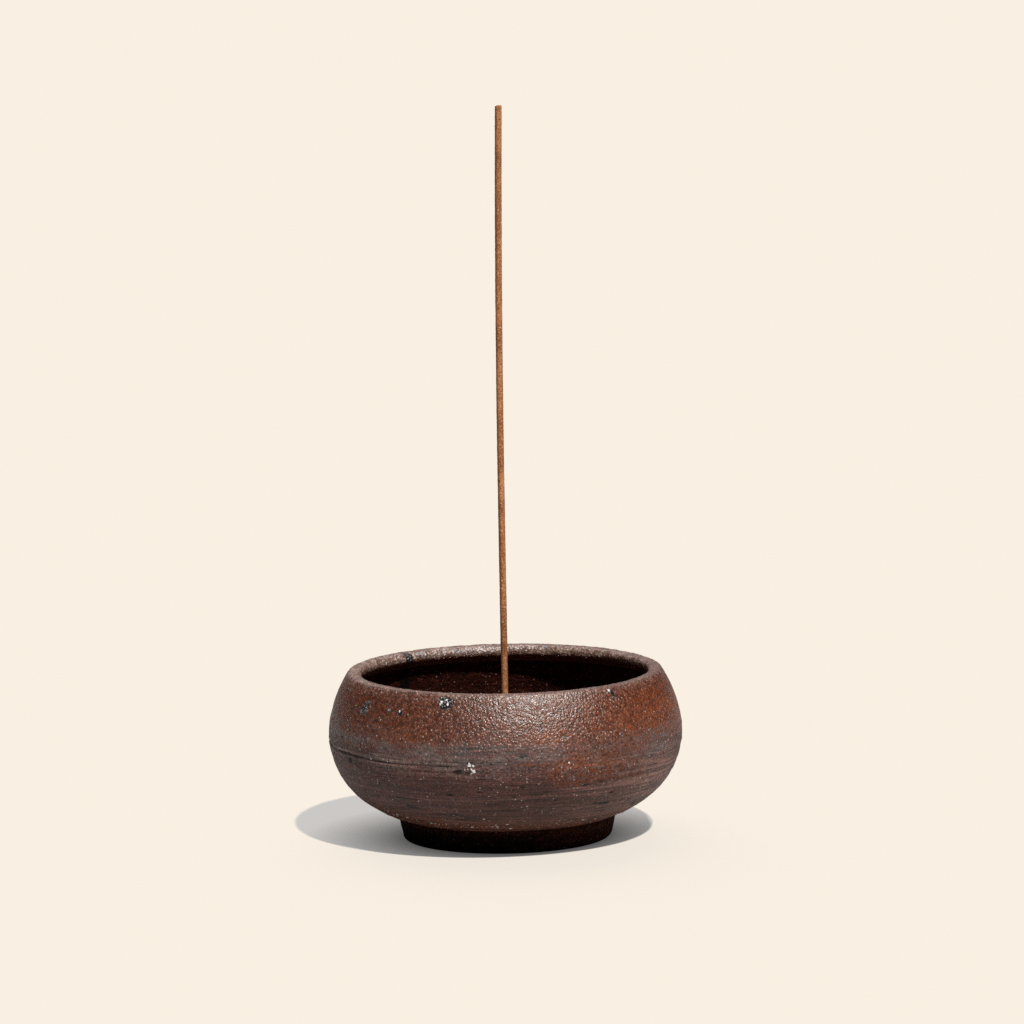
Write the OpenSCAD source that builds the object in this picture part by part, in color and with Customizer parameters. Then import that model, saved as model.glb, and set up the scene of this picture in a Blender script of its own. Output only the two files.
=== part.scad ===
// Incense burner: a low stoneware bowl on a turned foot, a small brass stand on its floor,
// and one coreless incense stick standing in the stand. Units are millimetres, +Z is up,
// and the origin is on the table, at the centre of the foot.

/* [Bowl] */
// Diameter at the belly, where the bowl is widest
belly_d = 111; // [104:0.5:118]
// Height of the belly above the table
belly_h = 33.6; // [32:0.2:36]
// Radius of the side curve through the belly
side_r = 25.5; // [24:0.5:27]
// Slope at which the side curve runs into the shoulder
shoulder_start = 12.7; // [10:0.1:15]
// Radius of the shoulder curve above the belly
shoulder_r = 43.3; // [40:0.1:46]
// Slope at which the shoulder curve runs into the lip
shoulder_end = 32.1; // [29:0.1:34]
// Slope at which the side curve runs into the skirt
skirt_start = 57.6; // [55:0.1:60]
// Radius of the skirt curve below the belly
skirt_r = 42; // [40:0.5:44]
// Thickness of the clay wall
wall = 4.5; // [4:0.1:5.5]
// Radius of the two rounded edges of the lip
lip_r = 1.4; // [1:0.1:1.8]
// Slope of the top of the lip, down to the inside
lip_slope = 7; // [0:1:12]

/* [Foot] */
// Radius of the foot where it meets the skirt
foot_top_r = 33.9; // [32:0.1:36]
// Radius of the foot near the table
foot_base_r = 32.8; // [31:0.1:34]
// Width of the ring that stands on the table
foot_ring_w = 6; // [4:0.5:9]
// Depth of the hollow under the bowl
foot_recess = 4; // [2.5:0.5:5]
// Radius of the rounded edges of the ring
foot_edge_r = 1.2; // [0.5:0.1:1.5]

/* [Stick stand] */
// Diameter of the base of the stand
stand_d = 24; // [18:1:36]
// Height of the stand
stand_h = 10; // [9:0.5:14]
// Thickness of the base, and of the solid metal under the bore
stand_base_h = 2; // [1.5:0.1:3]
// Radius of the post around the bore
post_r = 3.2; // [2.5:0.1:4]
// Radius of the hollow curve between the base and the post
hollow_r = 5; // [3:0.5:5]
// Radius of the rounded edges of the stand
stand_edge_r = 0.6; // [0.3:0.1:0.7]

/* [Incense stick] */
// Diameter of the incense stick
stick_d = 2.1; // [1.6:0.1:3]
// Length of the incense stick along its middle line
stick_l = 217; // [120:1:230]
// Length of the straight lower part of the stick
stick_straight = 95; // [75:1:110]
// Radius of the slight bow above the straight part
stick_bow_r = 5900; // [4000:100:20000]
// Gap between the stick and its bore, all round
stick_gap = 0.07; // [0.03:0.01:0.1]

/* [Hidden] */
$fn = 180;

// Degrees for each straight step of a large curve, and of a small rounded edge
curve_step = 4;
edge_step = 11.25;

// Centres of the curves of the bowl, each of which runs smoothly into the next
side_c = [belly_d / 2 - side_r, belly_h];
shoulder_c = side_c + polar(side_r - shoulder_r, shoulder_start);
skirt_c = side_c + polar(side_r - skirt_r, -skirt_start);
lip_out_c = shoulder_c + polar(shoulder_r - lip_r, shoulder_end);
lip_flat = (wall - 2 * lip_r) / cos(shoulder_end - lip_slope);
lip_in_c = lip_out_c + polar(lip_flat, 180 + lip_slope);
skirt_end = acos((foot_top_r - skirt_c.x) / skirt_r);
floor_h = skirt_c.y - (skirt_r - wall);
recess_r = foot_base_r - foot_ring_w;

stand_r = stand_d / 2;
bore_r = stick_d / 2 + stick_gap;
stick_h = floor_h + stand_base_h;
bow_angle = (stick_l - stick_straight) / stick_bow_r * 180 / PI;

function polar(r, a) = r * [cos(a), sin(a)];

// Points on the curve of radius r about c, from slope a0 to slope a1
function arc(c, r, a0, a1, step = curve_step) =
    let (n = ceil(abs(a1 - a0) / step))
    [for (i = [0 : n]) c + polar(r, a0 + (a1 - a0) * i / n)];

function edge(c, r, a0, a1) = arc(c, r, a0, a1, edge_step);

// Half section of the bowl: the hollow under it, the foot, the outside, the lip and the inside
bowl_section = concat(
    [[0, foot_recess]],
    edge([recess_r - foot_edge_r, foot_recess - foot_edge_r], foot_edge_r, 90, 0),
    edge([recess_r + foot_edge_r, foot_edge_r], foot_edge_r, 180, 270),
    edge([foot_base_r - foot_edge_r, foot_edge_r], foot_edge_r, -90, 0),
    arc(skirt_c, skirt_r, -skirt_end, -skirt_start),
    arc(side_c, side_r, -skirt_start, 0),
    arc(side_c, side_r, 0, shoulder_start),
    arc(shoulder_c, shoulder_r, shoulder_start, shoulder_end),
    edge(lip_out_c, lip_r, shoulder_end, 90),
    edge(lip_out_c, lip_r, 90, 90 + lip_slope),
    edge(lip_in_c, lip_r, 90 + lip_slope, 180 + shoulder_end),
    arc(shoulder_c, shoulder_r - wall, shoulder_end, shoulder_start),
    arc(side_c, side_r - wall, shoulder_start, -skirt_start),
    arc(skirt_c, skirt_r - wall, -skirt_start, -90),
    [[0, floor_h]]
);

// Half section of the stand, with its blind bore
stand_section = concat(
    [[0, 0]],
    edge([stand_r - stand_edge_r, stand_edge_r], stand_edge_r, -90, 0),
    edge([stand_r - stand_edge_r, stand_base_h - stand_edge_r], stand_edge_r, 0, 90),
    edge([post_r + hollow_r, stand_base_h + hollow_r], hollow_r, 270, 180),
    edge([post_r - stand_edge_r, stand_h - stand_edge_r], stand_edge_r, 0, 90),
    [[bore_r, stand_h], [bore_r, stand_base_h], [0, stand_base_h]]
);

// One thrown and trimmed clay body: wall, lip, floor and foot ring
module bowl() {
    color([0.42, 0.26, 0.19])
        rotate_extrude() polygon(bowl_section);
}

// Turned brass stand that rests on the floor of the bowl
module stick_stand() {
    color([0.72, 0.56, 0.3])
        translate([0, 0, floor_h])
            rotate_extrude() polygon(stand_section);
}

// Extruded incense: a straight lower part that seats in the bore, then a slight bow towards +X
module incense_stick() {
    color([0.6, 0.4, 0.25])
        translate([0, 0, stick_h]) {
            cylinder(h = stick_straight, d = stick_d);
            translate([stick_bow_r, 0, stick_straight])
                rotate([90, 0, 0])
                    mirror([1, 0, 0])
                        rotate_extrude(angle = bow_angle)
                            translate([stick_bow_r, 0]) circle(d = stick_d);
        }
}

bowl();
stick_stand();
incense_stick();
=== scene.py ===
import math

import bmesh
import bpy
import numpy as np
from mathutils import Matrix, Vector, noise


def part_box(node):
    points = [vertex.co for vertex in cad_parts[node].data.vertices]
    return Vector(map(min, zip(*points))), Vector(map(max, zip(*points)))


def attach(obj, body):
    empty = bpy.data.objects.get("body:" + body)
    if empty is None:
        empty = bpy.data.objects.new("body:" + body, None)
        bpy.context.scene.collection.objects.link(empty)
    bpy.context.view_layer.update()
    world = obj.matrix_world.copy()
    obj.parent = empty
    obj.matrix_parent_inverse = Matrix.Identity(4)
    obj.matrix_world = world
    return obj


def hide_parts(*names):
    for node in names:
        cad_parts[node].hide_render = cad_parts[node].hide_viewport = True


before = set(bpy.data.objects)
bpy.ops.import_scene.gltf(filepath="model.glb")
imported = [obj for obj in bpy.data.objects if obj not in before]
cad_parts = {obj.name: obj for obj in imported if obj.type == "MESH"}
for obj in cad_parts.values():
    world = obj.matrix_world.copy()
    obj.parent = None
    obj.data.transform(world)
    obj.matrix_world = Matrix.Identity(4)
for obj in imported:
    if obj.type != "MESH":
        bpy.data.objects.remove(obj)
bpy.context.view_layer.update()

MM = 0.001

# ---------------------------------------------------------------- camera
EYE_DISTANCE = 2500 * MM
EYE_HEIGHT_ANGLE = 9.97  # degrees above the table
TARGET = Vector((0, 0, 26 * MM))
AIM_RIGHT = 1.9 * MM  # from the target to the middle of the picture
AIM_UP = 75.4 * MM
ROLL = 1.04  # degrees that the picture is turned
LENS_MM = 281.25
SENSOR_MM = 36.0
FARTHEST_SEEN = 100  # metres


def make_camera():
    tilt = math.radians(EYE_HEIGHT_ANGLE)
    roll = math.radians(ROLL)
    to_target = Vector((0, math.cos(tilt), -math.sin(tilt)))
    level_right = Vector((1, 0, 0))
    level_up = level_right.cross(to_target)
    right = level_right * math.cos(roll) - level_up * math.sin(roll)
    up = level_right * math.sin(roll) + level_up * math.cos(roll)
    eye = TARGET - to_target * EYE_DISTANCE
    forward = (TARGET + right * AIM_RIGHT + up * AIM_UP - eye).normalized()
    right = (right - forward * right.dot(forward)).normalized()
    up = right.cross(forward)
    data = bpy.data.cameras.new("camera")
    data.lens = LENS_MM
    data.sensor_width = SENSOR_MM
    data.clip_end = FARTHEST_SEEN
    camera = bpy.data.objects.new("camera", data)
    turn = Matrix((right, up, -forward)).transposed().to_4x4()
    camera.matrix_world = Matrix.Translation(eye) @ turn
    bpy.context.scene.collection.objects.link(camera)
    bpy.context.scene.camera = camera


make_camera()


# ---------------------------------------------------------------- node helpers
class Nodes:
    """A node tree, with short ways to add nodes and wire them."""

    def __init__(self, tree):
        self.tree = tree

    def feed(self, socket, value):
        """Gives a socket a constant or the output of another node."""
        if isinstance(value, bpy.types.NodeSocket):
            self.tree.links.new(value, socket)
        else:
            socket.default_value = value

    def node(self, kind, inputs=None, **settings):
        """Adds a node with settings, and feeds its inputs, each given by name or number."""
        made = self.tree.nodes.new("ShaderNode" + kind)
        for key, value in settings.items():
            setattr(made, key, value)
        for key, value in (inputs or {}).items():
            self.feed(made.inputs[key], value)
        return made

    def position(self):
        return self.node("TexCoord").outputs["Object"]

    def distance_from(self, point):
        inputs = {0: self.position(), 1: point}
        return self.node("VectorMath", inputs, operation="DISTANCE").outputs["Value"]

    def attribute(self, name):
        return self.node("Attribute", attribute_name=name).outputs["Fac"]

    def stretched(self, scale):
        return self.node("Mapping", {"Vector": self.position(), "Scale": scale}).outputs["Vector"]

    def noise(self, size, detail=2.0, rough=0.5, vector=None):
        """Noise from 0 to 1 with features about size metres across."""
        vector = vector or self.position()
        inputs = {"Vector": vector, "Scale": 1 / size, "Detail": detail, "Roughness": rough}
        return self.node("TexNoise", inputs).outputs["Fac"]

    def cells(self, size, seed):
        """Distance to the nearest grain, and a random number for each grain."""
        vector = self.position()
        if seed:
            vector = self.node("VectorMath", {0: vector, 1: (seed, seed, seed)}, operation="ADD").outputs[0]
        made = self.node("TexVoronoi", {"Vector": vector, "Scale": 1 / size})
        split = self.node("SeparateColor", {0: made.outputs["Color"]})
        return made.outputs["Distance"], split.outputs[0]

    def math(self, operation, a, b, clamp=False):
        return self.node("Math", {0: a, 1: b}, operation=operation, use_clamp=clamp).outputs[0]

    def product(self, a, b):
        return self.math("MULTIPLY", a, b)

    def ramp(self, value, low, high, to_low=0.0, to_high=1.0, smooth=True):
        """value from low to high becomes to_low to to_high, and is held there outside."""
        inputs = {"Value": value, "From Min": low, "From Max": high, "To Min": to_low, "To Max": to_high}
        kind = "SMOOTHSTEP" if smooth else "LINEAR"
        return self.node("MapRange", inputs, interpolation_type=kind).outputs["Result"]

    def mix(self, amount, a, b, blend="MIX"):
        inputs = {"Factor": amount, 6: a, 7: b}  # 6, 7 and 2 are the sockets for colours
        return self.node("Mix", inputs, data_type="RGBA", blend_type=blend).outputs[2]

    def multiply(self, colour, value, amount=1.0):
        grey = self.node("CombineColor", {0: value, 1: value, 2: value}).outputs[0]
        return self.mix(amount, colour, grey, "MULTIPLY")

    def bump(self, height, depth, strength, below=None):
        inputs = {"Height": height, "Distance": depth, "Strength": strength}
        if below is not None:
            inputs["Normal"] = below
        return self.node("Bump", inputs).outputs["Normal"]


class Shader(Nodes):
    """A material's node tree."""

    def __init__(self, name):
        self.material = bpy.data.materials.new(name)
        self.material.use_nodes = True
        super().__init__(self.material.node_tree)

    def surface(self, **values):
        """Feeds inputs of the main node, named with _ for each space."""
        main = self.tree.nodes["Principled BSDF"]
        for name, value in values.items():
            self.feed(main.inputs[name.replace("_", " ")], value)


def rgb(red, green, blue):
    """A colour from its 0 to 255 screen values."""
    screen = [value / 255 for value in (red, green, blue)]
    linear = [((v + 0.055) / 1.055) ** 2.4 if v > 0.04045 else v / 12.92 for v in screen]
    return (*linear, 1.0)


# ---------------------------------------------------------------- turned shapes
SEED_SHIFT = np.array((7.31, 3.17, 11.9))  # each seed reads its noise this much further along


def smooth(value, low, high):
    """0 below low, 1 above high and a soft step between; low may be the larger."""
    t = np.clip((value - low) / (high - low), 0, 1)
    return t * t * (3 - 2 * t)


def hump(value, half):
    """1 where value is 0, and falling softly on both sides to about a third at half."""
    return np.exp(-((value / half) ** 2))


def noise_at(places):
    """Noise from about -1 to 1 for a grid of places."""
    values = [noise.noise(place) for place in places.reshape(-1, 3).tolist()]
    return np.array(values).reshape(places.shape[:2])


def arc(centre, radius, start, end, step):
    """Points along a curve about centre, from slope start to slope end in degrees, about step apart."""
    count = max(2, math.ceil(abs(math.radians(end - start)) * radius / step))
    slopes = np.radians(np.linspace(start, end, count + 1))
    return np.stack([centre[0] + radius * np.cos(slopes), centre[1] + radius * np.sin(slopes)], 1)


def line(start, end, step):
    count = max(1, math.ceil(math.dist(start, end) / step))
    return np.linspace(start, end, count + 1)


def joined(*stretches):
    """One outline from stretches that each start where the last one ends."""
    points = np.concatenate(stretches)
    apart = np.hypot(*np.diff(points, axis=0).T) > 1e-7
    return points[np.concatenate([[True], apart])]


def away(centre, radius, slope):
    return centre + radius * np.array((math.cos(math.radians(slope)), math.sin(math.radians(slope))))


class Turned:
    """A surface of revolution as a grid of points: rows along its outline, columns round it.

    The outline runs from the axis to the axis. Azimuth 0 faces the viewer and grows to the right."""

    def __init__(self, outline, columns):
        self.radius = outline[:, 0][:, None]
        self.height = outline[:, 1][:, None]
        self.azimuth = np.linspace(-math.pi, math.pi, columns, endpoint=False)[None, :]
        steps = np.hypot(*np.diff(outline, axis=0).T)
        self.along = np.concatenate([[0], np.cumsum(steps)])[:, None]
        run = np.gradient(outline, axis=0)
        run /= np.hypot(*run.T)[:, None] + 1e-12
        self.out_r, self.out_z = run[:, 1][:, None], -run[:, 0][:, None]
        self.points = self.at(self.radius, self.height)

    def at(self, radius, height):
        """Points at a radius and height for each row, or for each point."""
        x, y = radius * np.sin(self.azimuth), -radius * np.cos(self.azimuth)
        return np.stack(np.broadcast_arrays(x, y, height), -1)

    def noise(self, size, seed, tall=None):
        """Noise from about -1 to 1 with features size across.

        Where tall is given, it is their size along the outline."""
        places = self.points / size
        if tall is not None:
            places[..., 2] = self.along / tall
        return noise_at(places + seed * SEED_SHIFT)

    def spot(self, azimuth, along, wide, tall, lean=0.0):
        """A soft round mask, 1 at its middle; azimuth in degrees, wide and tall are half sizes."""
        turn = (self.azimuth - math.radians(azimuth) + math.pi) % (2 * math.pi) - math.pi
        up = self.along - along
        across = turn * self.radius - lean * up
        return np.exp(-((across / wide) ** 2) - (up / tall) ** 2)

    def pushed(self, push):
        """The points moved push outwards, square to the outline."""
        return self.at(self.radius + push * self.out_r, self.height + push * self.out_z)


def closed_mesh(name, grid):
    """A closed mesh from a grid of points, whose first and last row each shrink to one point."""
    rows, columns = grid.shape[0] - 2, grid.shape[1]
    body = grid[1:-1].reshape(-1, 3)
    points = np.concatenate([body, [grid[0].mean(0), grid[-1].mean(0)]])
    corner = np.arange(rows * columns).reshape(rows, columns)
    beside = np.roll(corner, -1, axis=1)
    quads = np.stack([corner[:-1], beside[:-1], beside[1:], corner[1:]], -1).reshape(-1, 4)
    start, end = rows * columns, rows * columns + 1
    faces = quads.tolist()
    faces += [(start, b, a) for a, b in zip(corner[0].tolist(), beside[0].tolist())]
    faces += [(end, a, b) for a, b in zip(corner[-1].tolist(), beside[-1].tolist())]
    made = bpy.data.meshes.new(name)
    made.from_pydata(points.tolist(), [], faces)
    made.polygons.foreach_set("use_smooth", [True] * len(made.polygons))
    made.update()
    return made


def paint(mesh, name, values, grid):
    """Stores one number per point of a closed mesh, for its material to read."""
    values = np.broadcast_to(values, grid.shape[:2])
    flat = np.concatenate([values[1:-1].ravel(), [values[0].mean(), values[-1].mean()]])
    mesh.attributes.new(name, "FLOAT", "POINT").data.foreach_set("value", flat.astype(np.float32))


def piece(mesh, node, material):
    """Shows a mesh as a piece that moves with a CAD node's body."""
    made = bpy.data.objects.new(mesh.name, mesh)
    bpy.context.scene.collection.objects.link(made)
    mesh.materials.append(material)
    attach(made, node)
    return made


# ---------------------------------------------------------------- bowl shape
_, bowl_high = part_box("bowl")
stand_low, stand_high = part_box("stick_stand")
HAND_ROOM = 0.4 * MM  # from the clay's mean surface out to the CAD's, so that the handmade one fits
BELLY_R = bowl_high.x - HAND_ROOM
BELLY_H = 33.4 * MM
SIDE_R = 25.5 * MM
SKIRT_R = 42 * MM
SHOULDER_R = 43.3 * MM
WALL = 4.4 * MM
LIP_R = 1.4 * MM
LIP_SLOPE = 7
SKIRT_START, SHOULDER_START, SHOULDER_END = -57.6, 12.7, 31.7
FOOT_TOP_R = 33.8 * MM
FOOT_BASE_R = 32.5 * MM
FOOT_RING_IN = 26.8 * MM
FOOT_EDGE_R = 1.2 * MM
FOOT_RECESS = 4 * MM
FLOOR_H = stand_low.z
GROOVE_H = 31.3 * MM
BOWL_COLUMNS = 512

side_c = np.array((BELLY_R - SIDE_R, BELLY_H))
shoulder_c = away(side_c, SIDE_R - SHOULDER_R, SHOULDER_START)
skirt_c = away(side_c, SIDE_R - SKIRT_R, SKIRT_START)
lip_out_c = away(shoulder_c, SHOULDER_R - LIP_R, SHOULDER_END)
lip_flat = (WALL - 2 * LIP_R) / math.cos(math.radians(SHOULDER_END - LIP_SLOPE))
lip_in_c = away(lip_out_c, lip_flat, 180 + LIP_SLOPE)
skirt_end = -math.degrees(math.acos((FOOT_TOP_R - skirt_c[0]) / SKIRT_R))
foot_top = away(skirt_c, SKIRT_R, skirt_end)
groove_slope = math.degrees(math.asin((GROOVE_H - BELLY_H) / SIDE_R))
# The inside runs from the side curve into one that just touches the floor that the stand rests on
inner_side_r = SIDE_R - WALL
skirt_sine = math.sin(math.radians(-SKIRT_START))
inner_skirt_r = (BELLY_H - inner_side_r * skirt_sine - FLOOR_H) / (1 - skirt_sine)
inner_skirt_c = away(side_c, inner_side_r - inner_skirt_r, SKIRT_START)


def bowl_outline():
    """Half section from under the bowl, up the foot and the outside, over the lip and down the inside.

    Each stretch ends with the step between its rows."""
    fine, seen = 0.28 * MM, 0.7 * MM
    near = 3.2  # degrees of fine rows on each side of the groove
    edge = FOOT_EDGE_R
    foot = joined(
        line((0, FOOT_RECESS), (FOOT_RING_IN - edge, FOOT_RECESS), 4 * MM),
        arc((FOOT_RING_IN - edge, FOOT_RECESS - edge), edge, 90, 0, 0.6 * MM),
        arc((FOOT_RING_IN + edge, edge), edge, 180, 270, 0.5 * MM),
        line((FOOT_RING_IN + edge, 0), (FOOT_BASE_R - edge, 0), 1.2 * MM),
        arc((FOOT_BASE_R - edge, edge), edge, -90, 0, 0.4 * MM),
        line((FOOT_BASE_R, edge), foot_top, 0.8 * MM),
    )
    outside = joined(
        arc(skirt_c, SKIRT_R, skirt_end, SKIRT_START, seen),
        arc(side_c, SIDE_R, SKIRT_START, groove_slope - near, seen),
        arc(side_c, SIDE_R, groove_slope - near, groove_slope + near, fine),
        arc(side_c, SIDE_R, groove_slope + near, SHOULDER_START, seen),
        arc(shoulder_c, SHOULDER_R, SHOULDER_START, SHOULDER_END, seen),
    )
    lip = joined(
        arc(lip_out_c, LIP_R, SHOULDER_END, 90 + LIP_SLOPE, 0.35 * MM),
        line(away(lip_out_c, LIP_R, 90 + LIP_SLOPE), away(lip_in_c, LIP_R, 90 + LIP_SLOPE), 0.35 * MM),
        arc(lip_in_c, LIP_R, 90 + LIP_SLOPE, 180 + SHOULDER_END, 0.4 * MM),
    )
    inside = joined(
        arc(shoulder_c, SHOULDER_R - WALL, SHOULDER_END, SHOULDER_START, 1.0 * MM),
        arc(side_c, inner_side_r, SHOULDER_START, SKIRT_START, 1.3 * MM),
        arc(inner_skirt_c, inner_skirt_r, SKIRT_START, -90, 2.2 * MM),
        line((inner_skirt_c[0], FLOOR_H), (0, FLOOR_H), 3 * MM),
    )
    stretches = (foot, outside, lip, inside)
    outline = joined(*stretches)
    starts = [np.abs(outline - s[0]).sum(1).argmin() for s in stretches]
    return outline, starts


outline, (_, outside_row, lip_row, inside_row) = bowl_outline()
clay = Turned(outline, BOWL_COLUMNS)
degrees = np.degrees(clay.azimuth)
row_number = np.arange(len(outline))[:, None]
is_foot = (row_number < outside_row) * 1.0
is_outside = ((row_number >= outside_row) & (row_number < lip_row)) * 1.0
is_lip = ((row_number >= lip_row) & (row_number < inside_row)) * 1.0
is_inside = (row_number >= inside_row) * 1.0
lip_middle = (clay.along[lip_row, 0] + clay.along[inside_row, 0]) / 2


def outside_at(height):
    """Where along the outline the outside reaches a height, in metres."""
    rows = slice(outside_row, lip_row + 3)
    return float(np.interp(height, clay.height[rows, 0], clay.along[rows, 0]))


def inside_at(height):
    """The same for the inside."""
    rows = slice(inside_row, len(outline))
    return float(np.interp(-height, -clay.height[rows, 0], clay.along[rows, 0]))


# ---------------------------------------------------------------- bowl surface
def by_height(start, end):
    """Rises softly from 0 to 1 between two heights in millimetres, or falls if start is the higher."""
    return smooth(clay.height, start * MM, end * MM)


def by_azimuth(start, end):
    """The same between two azimuths in degrees."""
    return smooth(degrees, start, end)


class Spots:
    """Soft marks on the clay: azimuth in degrees, height and half sizes in millimetres, strength."""

    def __init__(self, marks=()):
        self.total = np.zeros(clay.points.shape[:2])
        for mark in marks:
            self.add(*mark)

    def add(self, azimuth, height, wide, tall, strength=1.0, lean=0.0, inside=False):
        along = (inside_at if inside else outside_at)(height * MM)
        self.put(azimuth, along, wide, tall, strength, lean)

    def put(self, azimuth, along, wide, tall, strength=1.0, lean=0.0):
        """The same for a place along the outline in metres."""
        mask = clay.spot(azimuth, along, wide * MM, tall * MM, lean)
        self.total = np.maximum(self.total, strength * mask)


GROOVE_HALF = 0.3 * MM
BANK_HALF = 0.4 * MM
BANK_AWAY = 0.75 * MM  # from the middle of the groove to the clay pushed up beside it
GROOVE_DEPTH = 0.42 * MM
PIT_DEPTH = 0.5 * MM
NICK_DEPTH = 0.7 * MM
STICK_SHADOW_AZIMUTH = -135.0
STICK_SHADOW_HALF = 1.15 * MM


def make_groove():
    """A dragged line round the belly, deep on the left, lost in front and faint again on the right."""
    left = by_azimuth(-135, -100) * by_azimuth(-8, -22)
    right = 0.55 * by_azimuth(22, 34) * by_azimuth(70, 52)
    waver = 0.25 * MM * np.sin(clay.azimuth * 3 + 0.6) + 0.12 * MM * np.sin(clay.azimuth * 11)
    rise = 0.9 * MM * by_azimuth(-20, 40)
    up = clay.along - outside_at(GROOVE_H) - waver + rise
    broken = 0.75 + 0.35 * np.sin(clay.azimuth * 23) * np.sin(clay.azimuth * 7 + 1)
    strength = (left + right) * broken * is_outside
    banks = hump(up - BANK_AWAY, BANK_HALF) + 0.6 * hump(up + BANK_AWAY, BANK_HALF)
    return strength * hump(up, GROOVE_HALF), strength * banks


def make_pits():
    """Small torn hollows that the throwing stretched sideways.

    Those in front are listed one by one. The rest are scattered outside, and then inside."""
    pits = Spots((
        (-15.5, 29.6, 1.7, 0.65, 1.3),
        (-61.5, 29.5, 1.0, 0.7, 1.2),
        (5.5, 34.6, 1.8, 0.5, 1.1),
        (58.5, 13.8, 2.0, 0.6, 1.2),
        (-31, 27.5, 0.8, 0.45, 0.8),
        (-9, 23.2, 0.9, 0.42, 0.75),
        (2.5, 21.4, 1.2, 0.42, 0.7),
        (17, 19.4, 1.6, 0.4, 0.75),
        (-47, 24.0, 0.9, 0.45, 0.8),
        (33, 24.5, 1.0, 0.4, 0.75),
        (-72, 33.5, 1.1, 0.5, 1.0),
    ))
    rng = np.random.default_rng(7)
    for _ in range(130):
        azimuth, height = rng.uniform(-180, 180), rng.uniform(11, 40)
        wide, tall = rng.uniform(0.5, 1.5), rng.uniform(0.28, 0.5)
        pits.add(azimuth, height, wide, tall, rng.uniform(0.4, 1.05))
    for _ in range(40):
        azimuth, height = rng.uniform(-180, 180), rng.uniform(16, 46)
        wide, tall = rng.uniform(0.9, 2.0), rng.uniform(0.5, 0.8)
        pits.add(azimuth, height, wide, tall, rng.uniform(0.3, 0.7), inside=True)
    return pits.total


def make_painted_stick_shadow():
    """The stick's shadow, painted dark over the lip at the back left and down the inside."""
    down = clay.along - lip_middle
    middle = STICK_SHADOW_AZIMUTH - 3.0 * smooth(down, -3 * MM, 2 * MM) - 2.5 * smooth(down, 4 * MM, 12 * MM)
    side = (clay.azimuth - np.radians(middle)) * clay.radius
    over = smooth(down, -5 * MM, -1 * MM) * smooth(down, 34 * MM, 20 * MM)
    half = STICK_SHADOW_HALF + 0.3 * MM * np.sin(down / (2.6 * MM)) + 0.15 * MM * np.sin(down / (0.7 * MM))
    half = half + 1.1 * MM * smooth(down, 4 * MM, 12 * MM)
    return np.exp(-((side / half) ** 4)) * over


def make_glass():
    """Dark glassy spots where wood ash melted on the clay."""
    return Spots((
        (-56, 46.3, 1.6, 2.3, 1.0, 0.4),
        (-54.5, 44.9, 0.7, 0.8, 0.8),
        (-43.3, 46.9, 0.7, 0.6),
        (-38.3, 46.3, 1.0, 0.8),
        (-21.2, 50.2, 2.5, 2.2),
        (40.5, 51.2, 1.1, 0.7),
        (41.6, 49.6, 0.6, 1.4, 0.9, -0.3),
        (40.8, 38.2, 0.6, 0.6),
        (56.8, 36.0, 0.5, 0.9, 0.9),
        (-70, 43.0, 0.6, 0.6, 0.8),
        (118, 45.0, 1.2, 1.7, 0.9, 0.2),
        (126, 41.0, 0.7, 1.0, 0.8),
        (163, 47.0, 1.0, 1.0, 0.9),
        (-118, 39.0, 0.9, 1.2, 0.9),
        (-164, 36.0, 0.8, 1.1, 0.8),
    )).total


def make_nicks():
    """Small chips along the outer edge of the lip: azimuth, half width and depth."""
    nicks = Spots()
    outer_edge = lip_middle - 1.2 * MM
    marks = (-142.8, 0.9, 1.0), (-167, 0.8, 0.8), (150, 0.7, 0.7), (104, 0.9, 0.6), (-96, 0.8, 0.5)
    for azimuth, wide, deep in marks:
        nicks.put(azimuth, outer_edge, wide, 1.0, deep)
    return nicks.total


groove, banks = make_groove()
# run is the shadow of the stick, painted over the lip and down the inside
pits, glass, run = make_pits(), make_glass(), make_painted_stick_shadow()
broad = clay.noise(16 * MM, 2)


def bowl_push():
    """How far each point of the handmade clay stands out from the outline."""
    lower = is_outside * by_height(44, 34)
    push = 0.14 * MM * clay.noise(60 * MM, 1) + 0.06 * MM * broad
    push += (0.05 + 0.07 * lower + 0.1 * is_inside) * MM * clay.noise(26 * MM, 3, tall=2.1 * MM)
    push += (0.015 + 0.065 * lower) * MM * clay.noise(15 * MM, 4, tall=0.9 * MM)
    push += (0.05 + 0.03 * is_lip) * MM * clay.noise(2.6 * MM, 5)
    push += (0.07 + 0.05 * is_lip) * MM * clay.noise(1.1 * MM, 6)
    push += 0.1 * MM * np.maximum(glass, run) + 0.12 * MM * banks
    push -= GROOVE_DEPTH * groove + PIT_DEPTH * pits + NICK_DEPTH * make_nicks()
    # the foot is a little off centre
    push += 0.7 * MM * is_foot * by_azimuth(20, 80) * by_azimuth(175, 110)
    # the lip is thickest at its inner edge, and the wall below that is thinner
    push += 0.45 * MM * hump(clay.along - clay.along[inside_row, 0] - 0.3 * MM, 1.1 * MM)
    push -= 1.0 * MM * is_inside * by_height(50.5, 46) * by_height(16, 28)
    # level where the stand rests on the bowl, and the bowl on the table
    level = is_inside * smooth(clay.radius, 17 * MM, 13 * MM)
    level = np.maximum(level, is_foot * by_height(1.5, 0.3))
    return np.clip(push, -1.4 * MM, np.where(is_inside > 0, 0.7, 0.32) * MM) * (1 - level)


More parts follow.
